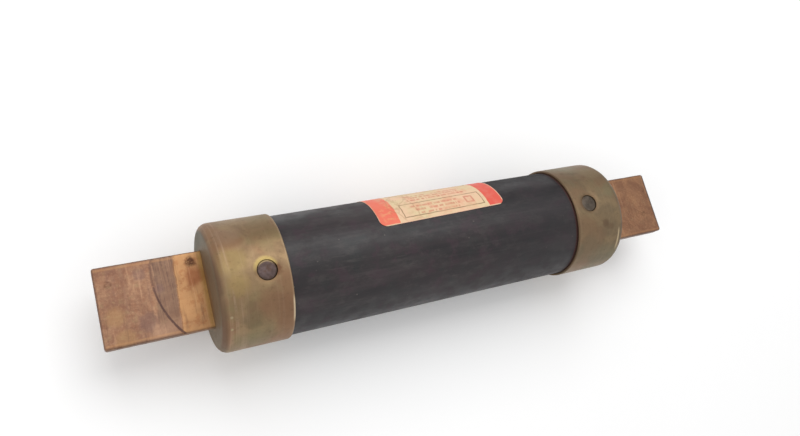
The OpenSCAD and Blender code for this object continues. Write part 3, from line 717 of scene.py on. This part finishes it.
def cut(piece, rings):
    """Cuts the solid over those rings out of a closed piece."""
    points, faces = join_rings(rings)
    cutter = add_mesh("cutter", points, faces, piece.data.materials[0])
    boolean = piece.modifiers.new("cut", "BOOLEAN")
    boolean.operation = "DIFFERENCE"
    boolean.solver = "EXACT"
    boolean.object = cutter
    bake_modifiers(piece)
    bpy.data.objects.remove(cutter)
    # The cut leaves spare points along its edge, which would make needle-thin triangles
    mesh = bmesh.new()
    mesh.from_mesh(piece.data)
    bmesh.ops.dissolve_verts(mesh, verts=[point for point in mesh.verts if len(point.link_edges) == 2])
    mesh.to_mesh(piece.data)
    mesh.free()


def ride_and_replace(piece, node):
    """Fixes a piece to the fuse's body in place of its CAD node."""
    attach(piece, "fuse_body")
    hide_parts(node)


# -------------------------------- end caps

CAP_STEPS = 288
STAKE_DEPTH = 0.30 * MM
STAKE_REACH = 2.6 * MM


def cap_section():
    """Closed section (x, r) of the right cap, from the lip's outside over the shoulder and back inside."""
    wall_end = CAP_FACE_X - CAP_SHOULDER
    inner_face = CAP_FACE_X - CAP_WALL
    inner_r = CAP_R - CAP_WALL
    inner_shoulder = CAP_SHOULDER - CAP_WALL
    inner_edge = 0.25 * MM
    core_r = 0.4 * MM  # The section stops short of the axis, inside the slot that is cut later
    points = arc((CAP_LIP_X + CAP_LIP, CAP_R - CAP_LIP), CAP_LIP, 180, 90, 6)
    points += line(points[-1], (wall_end, CAP_R), 44)
    points += arc((wall_end, CAP_R - CAP_SHOULDER), CAP_SHOULDER, 90, 0, 14)
    points += line(points[-1], (CAP_FACE_X, core_r), 14)
    points += [(CAP_FACE_X, core_r), (inner_face, core_r)]
    points += line(points[-1], (inner_face, inner_r - inner_shoulder), 4)
    points += arc((inner_face - inner_shoulder, inner_r - inner_shoulder), inner_shoulder, 0, 90, 8)
    points += line(points[-1], (CAP_LIP_X + inner_edge, inner_r), 8)
    points += arc((CAP_LIP_X + inner_edge, inner_r + inner_edge), inner_edge, 270, 180, 3)
    return points


def worn_cap_point(x, y, z, pin_turn, seed):
    """A cap point after use: shallow dents, and metal pressed in round the pins."""
    radius = math.hypot(y, z)
    if radius < CAP_R - CAP_WALL / 2:
        return x, y, z
    dent = uneven(0.035 * MM, x, y, z, 11 * MM, seed) + uneven(0.012 * MM, x, y, z, 3 * MM, seed)
    across = y * math.cos(pin_turn) - z * math.sin(pin_turn)
    from_pin = math.hypot(abs(x) - PIN_X, across) - PIN_HOLE_R
    if from_pin < STAKE_REACH:
        share = 1 - max(from_pin, 0) / STAKE_REACH
        dent += STAKE_DEPTH * share ** 3
    scale = (radius - dent) / radius
    return x, y * scale, z * scale


def turned(point, turn):
    """A point turned about the fuse's axis, from +Z towards +Y."""
    x, y, z = point
    return x, y * math.cos(turn) + z * math.sin(turn), z * math.cos(turn) - y * math.sin(turn)


def hole_rings(x, radius, reach, turn):
    """The two end rings of a round cutter that runs right through the fuse at place x."""
    rings = []
    for height in (-reach, reach):
        ring = []
        for i in range(ROUND_STEPS):
            around = 2 * math.pi * i / ROUND_STEPS
            ring.append(turned((x + radius * math.cos(around), radius * math.sin(around), height), turn))
        rings.append(ring)
    return rings


def make_cap(end, material):
    """One drawn cap, turned from its section, with its pin holes and the slot for the blade's tang."""
    side = ENDS[end]
    section = cap_section()
    rings = []
    for i in range(CAP_STEPS):
        turn = 2 * math.pi * i / CAP_STEPS
        ring = []
        for x, r in section:
            point = (side * x, r * math.sin(turn), r * math.cos(turn))
            ring.append(worn_cap_point(*point, pin_turn=PIN_TURN[end], seed=side * 5))
        rings.append(ring if side > 0 else ring[::-1])
    points, faces = join_rings(rings, closed_along=True)
    cap = add_mesh("cap_" + end, points, faces, material)
    cut(cap, hole_rings(side * PIN_X, PIN_HOLE_R, CAP_R * 1.2, PIN_TURN[end]))
    slot_low, slot_high = sorted((side * (CAP_FACE_X - 2 * CAP_WALL), side * (CAP_FACE_X + CAP_WALL)))
    half_w, half_t = TANG_HALF_W + SLOT_GAP, TANG_HALF_T + SLOT_GAP
    corners = [(-half_w, -half_t), (half_w, -half_t), (half_w, half_t), (-half_w, half_t)]
    cut(cap, [[(x, y, z) for y, z in corners] for x in (slot_low, slot_high)])
    cap.data.shade_smooth()
    cap.data.set_sharp_from_angle(angle=SHARP_ANGLE)
    ride_and_replace(cap, "end_cap_" + end)


# -------------------------------- knife blades

EDGE_STEPS = 3
FACE_STEPS = 40
SIDE_STEPS = 4


def bar_ring(x, half_w, half_t, edge):
    """One ring of a flat bar with rounded edges, at a place along it."""
    ring = []
    corners = [(1, 1, 0), (-1, 1, 90), (-1, -1, 180), (1, -1, 270)]
    for index, (sy, sz, start) in enumerate(corners):
        centre_y, centre_z = sy * (half_w - edge), sz * (half_t - edge)
        for i in range(EDGE_STEPS + 1):
            turn = math.radians(start + 90 * i / EDGE_STEPS)
            ring.append((x, centre_y + edge * math.cos(turn), centre_z + edge * math.sin(turn)))
        count = FACE_STEPS if sy == sz else SIDE_STEPS
        following = corners[(index + 1) % 4]
        turn = math.radians(following[2])
        target = (following[0] * (half_w - edge) + edge * math.cos(turn),
                  following[1] * (half_t - edge) + edge * math.sin(turn))
        here = ring[-1][1:]
        for i in range(1, count):
            share = i / count
            ring.append((x, here[0] + (target[0] - here[0]) * share,
                         here[1] + (target[1] - here[1]) * share))
    return ring


def blade_stations(corner):
    """Places along the blade from root to tip, each with the blade's half width there."""
    stations = []
    straight_end = BLADE_TIP_X - corner
    rows, corner_steps = 44, 8
    for i in range(rows + 1):
        stations.append((BLADE_ROOT_X + (straight_end - BLADE_ROOT_X) * i / rows, BLADE_HALF_W))
    for i in range(1, corner_steps + 1):
        turn = math.radians(90 * i / corner_steps)
        stations.append((straight_end + corner * math.sin(turn),
                         BLADE_HALF_W - corner * (1 - math.cos(turn))))
    return stations


def make_blade(end, material):
    """One blade with its narrower tang, rounded along its edges and tip, and slightly uneven."""
    side = ENDS[end]
    rings = []
    for x, half_w in blade_stations(BLADE_CORNER[end]):
        to_tip = BLADE_TIP_X - x
        drop = 0.0
        if to_tip < BLADE_EDGE:
            drop = BLADE_EDGE - math.sqrt(BLADE_EDGE ** 2 - (BLADE_EDGE - to_tip) ** 2)
        ring = []
        for px, py, pz in bar_ring(side * x, half_w, BLADE_HALF_T - drop, BLADE_EDGE):
            wave = uneven(0.02 * MM, px, py, pz, 7 * MM, side * 3) + uneven(0.008 * MM, px, py, pz, 2 * MM, 1)
            edge_wave = uneven(0.05 * MM, px, 0, pz, 5 * MM, side * 7)
            inset_y = edge_wave if abs(py) > half_w - 0.6 * BLADE_EDGE else 0.0
            ring.append((px, py - math.copysign(inset_y, py), pz - math.copysign(wave, pz)))
        rings.append(ring if side > 0 else ring[::-1])
    tang_far = min(abs(corner.x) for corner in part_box("knife_blade_" + end))
    tang = [bar_ring(side * x, TANG_HALF_W, TANG_HALF_T, TANG_EDGE) for x in (tang_far, BLADE_ROOT_X)]
    points, faces = join_rings([ring if side > 0 else ring[::-1] for ring in tang] + rings)
    blade = add_mesh("blade_" + end, points, faces, material)
    ride_and_replace(blade, "knife_blade_" + end)


# -------------------------------- cap pins

def make_pins(end, material):
    """Both pins of one cap, as one piece: chamfered, slightly domed and a little uneven at the outer end."""
    side = ENDS[end]
    dome = 0.12 * MM
    rows = 8
    flat_r = PIN_R - PIN_CHAMFER
    section = [(PIN_R, PIN_TOP - PIN_LEN), (PIN_R, PIN_TOP - PIN_CHAMFER - dome),
               (PIN_R - 0.3 * PIN_CHAMFER, PIN_TOP - 0.4 * PIN_CHAMFER - dome), (flat_r, PIN_TOP - dome)]
    for i in range(1, rows):
        r = flat_r * (1 - i / rows)
        section.append((r, PIN_TOP - dome * (r / flat_r) ** 2))
    points, faces = [], []
    for up in (1, -1):
        rings = []
        for r, height in section:
            ring = []
            for i in range(ROUND_STEPS):
                turn = 2 * math.pi * i / ROUND_STEPS
                x, y = r * math.cos(turn), r * math.sin(turn)
                dip = uneven(0.03 * MM, x, y, up, 2 * MM, side * 2) if height > PIN_TOP - 1 * MM else 0
                ring.append(turned((side * PIN_X + x, y * up, up * (height - dip)), PIN_TURN[end]))
            rings.append(ring)
        pin_points, pin_faces = join_rings(rings)
        base = len(points)
        points += pin_points
        faces += [tuple(base + i for i in face) for face in pin_faces]
    pins = add_mesh("pins_" + end, points, faces, material)
    ride_and_replace(pins, "cap_pins_" + end)


# -------------------------------- label

def make_label(material):
    """A thin curved sheet with rounded corners, pressed on with small wrinkles and one lifted corner."""
    columns, rows = 96, 72
    thickness = 0.11 * MM
    glue = 0.015 * MM
    lifted, lift_reach = 0.10 * MM, 6 * MM
    rings = []
    prints = []
    for i in range(columns + 1):
        u = LABEL_LEN * (0.5 - 0.5 * math.cos(math.pi * i / columns))
        from_end = min(u, LABEL_LEN - u)
        trim = 0.0
        if from_end < LABEL_CORNER:
            trim = LABEL_CORNER - math.sqrt(LABEL_CORNER ** 2 - (LABEL_CORNER - from_end) ** 2)
        outer, inner, outer_print, inner_print = [], [], [], []
        for j in range(rows + 1):
            v = trim + (LABEL_WIDTH - 2 * trim) * j / rows
            turn = LABEL_START + (v + (u - LABEL_LEN / 2) * math.tan(LABEL_SKEW)) / LABEL_R
            x = LABEL_X0 + u
            lift = uneven(0.012 * MM, u, v, 0, 6 * MM, 4) + uneven(0.006 * MM, u, v, 0, 1.7 * MM, 9)
            lift += lifted * max(0, 1 - math.hypot(u, v) / lift_reach) ** 2
            for points, place, radius in ((outer, outer_print, TUBE_R + glue + thickness + lift),
                                          (inner, inner_print, TUBE_R + glue + lift)):
                points.append((x, radius * math.sin(turn), radius * math.cos(turn)))
                place.append((u, v))
        rings.append(inner + outer[::-1])
        prints += inner_print + outer_print[::-1]
    points, faces = join_rings(rings)
    label = add_mesh("label", points, faces, material)
    layer = label.data.uv_layers.new(name="print")
    for loop in label.data.loops:
        layer.data[loop.index].uv = prints[loop.vertex_index]
    ride_and_replace(label, "paper_label")


# -------------------------------- trigger spring

def make_spring(material):
    """The coiled spring as a swept wire with closed end turns."""
    turns, per_turn, sides = 6, 48, 14
    wire_r = 0.6 * MM
    mean_r = spring_high.y - wire_r
    dead_pitch = 2 * wire_r + 0.05 * MM
    low, high = spring_low.x, spring_high.x
    live_pitch = (high - low - 2 * wire_r - 2 * dead_pitch) / (turns - 2)
    rings = []
    for i in range(turns * per_turn + 1):
        turn = i / per_turn
        dead = min(turn, 1) + max(turn - (turns - 1), 0)
        live = min(max(turn - 1, 0), turns - 2)
        centre = low + wire_r + dead * dead_pitch + live * live_pitch
        around = 2 * math.pi * turn
        ring = []
        for j in range(sides):
            section = 2 * math.pi * j / sides
            radius = mean_r + wire_r * math.cos(section)
            ring.append((centre + wire_r * math.sin(section),
                         radius * math.sin(around), radius * math.cos(around)))
        rings.append(ring)
    points, faces = join_rings(rings)
    spring = add_mesh("spring", points, faces, material)
    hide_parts("trigger_spring")
    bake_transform(spring)


# -------------------------------- floor

def make_floor():
    """A plain pale flat floor that the caps stand on."""
    s = Shader("studio_floor")
    tone = s.noise(9, detail=2)
    s.finish(s.mix(tone, (0.90, 0.90, 0.90, 1), (0.92, 0.92, 0.92, 1)), 0.75)
    corners = [(-1, -1), (1, -1), (1, 1), (-1, 1)]
    points = [(x * FLOOR_HALF, y * FLOOR_HALF, cad_low.z) for x, y in corners]
    floor = add_mesh("floor", points, [(0, 1, 2, 3)], s.material)


# -------------------------------- putting it together

def assign(material, *names):
    """Gives carried-over CAD nodes their material."""
    for name in names:
        mesh = NODES[name].data
        mesh.materials.clear()
        mesh.materials.append(material)


def both(stem):
    """The names of the left and the right node of a pair."""
    return stem + "_left", stem + "_right"


make_camera()
make_studio()
make_floor()

assign(fibre_material(), "fibre_tube")
make_pins("left", pin_material("left", light=srgb(98, 82, 80), dark=srgb(76, 62, 58), burr=0.75))
make_pins("right", pin_material("right", light=srgb(96, 86, 76), dark=srgb(74, 66, 58), burr=0.0))
make_cap("left", brass_material(
    "left", light=srgb(146, 122, 90), dark=srgb(132, 108, 82), warm=srgb(138, 104, 78),
    olive=srgb(130, 116, 82),
    patches=((6.0, 4.0, 5.0, 0.55, srgb(146, 126, 80)), (7.0, -4.5, 3.8, 0.50, srgb(158, 133, 84)),
             (6.6, 15.2, 4.5, 0.45, srgb(160, 132, 108)), (17.0, -12.5, 5.5, 0.65, srgb(132, 98, 74)),
             (21.0, -18.0, 4.5, 0.55, srgb(130, 98, 74)), (10.6, -17.6, 4.0, 0.50, srgb(112, 98, 72)),
             (10.0, -12.5, 2.2, 0.45, srgb(116, 90, 70)), (13.0, -25.0, 6.0, 0.45, srgb(118, 110, 80)),
             (19.0, 15.0, 6.0, 0.40, srgb(128, 102, 76)), (2.9, -19.7, 0.6, 0.75, srgb(178, 168, 128)),
             (3.1, -14.9, 0.5, 0.65, srgb(176, 160, 128))),
    wear_and_painted_light={"lip": 0.9, "shoulder": 0.0, "lip_shade": 0.0, "crescent": 0.9, "streaks": 1.0,
            "ring": srgb(122, 94, 66)}))
make_cap("right", brass_material(
    "right", light=srgb(134, 114, 86), dark=srgb(116, 100, 78), warm=srgb(128, 102, 78),
    olive=srgb(118, 110, 84),
    patches=((8.0, 17.0, 4.5, 0.55, srgb(142, 124, 94)), (10.8, -8.4, 1.7, 0.55, srgb(90, 68, 52)),
             (8.2, -10.2, 1.4, 0.40, srgb(96, 72, 54)), (18.0, -18.0, 6.0, 0.45, srgb(116, 104, 82)),
             (10.0, -24.0, 6.0, 0.45, srgb(112, 106, 84)), (24.0, 12.0, 4.0, 0.40, srgb(124, 110, 84))),
    wear_and_painted_light={"lip": 0.0, "shoulder": 0.6, "lip_shade": 0.7, "crescent": 0.0, "streaks": 0.45,
            "ring": srgb(104, 82, 60)}))
make_blade("left", copper_material(
    "left", mid=srgb(154, 118, 92), brown=srgb(140, 103, 82), violet=srgb(138, 105, 90),
    clean=srgb(182, 138, 96), edge_dirt_and_shade_tone=srgb(98, 76, 66), worn=True))
make_blade("right", copper_material(
    "right", mid=srgb(160, 119, 88), brown=srgb(132, 95, 73), violet=srgb(142, 106, 82),
    clean=srgb(174, 130, 94), edge_dirt_and_shade_tone=srgb(78, 72, 72), worn=False))
make_label(label_material())

assign(metal_material("turned_brass", srgb(196, 168, 112), srgb(150, 122, 76), 0.9, 0.3, 900, (3, 0.2, 0.2)),
       *both("terminal_plug"), *both("fill_plug"))
assign(metal_material("rolled_copper", srgb(222, 152, 116), srgb(176, 108, 80), 0.95, 0.28, 900, (0.1, 2, 2)),
       "short_link_left_upper", "short_link_left_lower", "short_link_right_upper", "short_link_right_lower")
assign(metal_material("machined_copper", srgb(210, 142, 108), srgb(160, 100, 74), 0.95, 0.3, 800,
                      (2.5, 0.2, 0.2)),
       "heat_absorber", "contact_block", "trigger_plunger")
assign(metal_material("cast_alloy", srgb(176, 178, 180), srgb(128, 130, 134), 0.85, 0.45, 500),
       "fusing_alloy")
assign(fibre_washer_material(), *both("heat_washer"), *both("barrier_disc"), "trigger_sleeve")
assign(mica_material(), "spring_seat", "stop_washer")
assign(sand_material(), *both("sand_fill"))
spring_steel = metal_material("spring_steel", srgb(168, 168, 172), srgb(112, 112, 118), 0.95, 0.25, 900)
assign(spring_steel, "spring_collar")
make_spring(spring_steel)
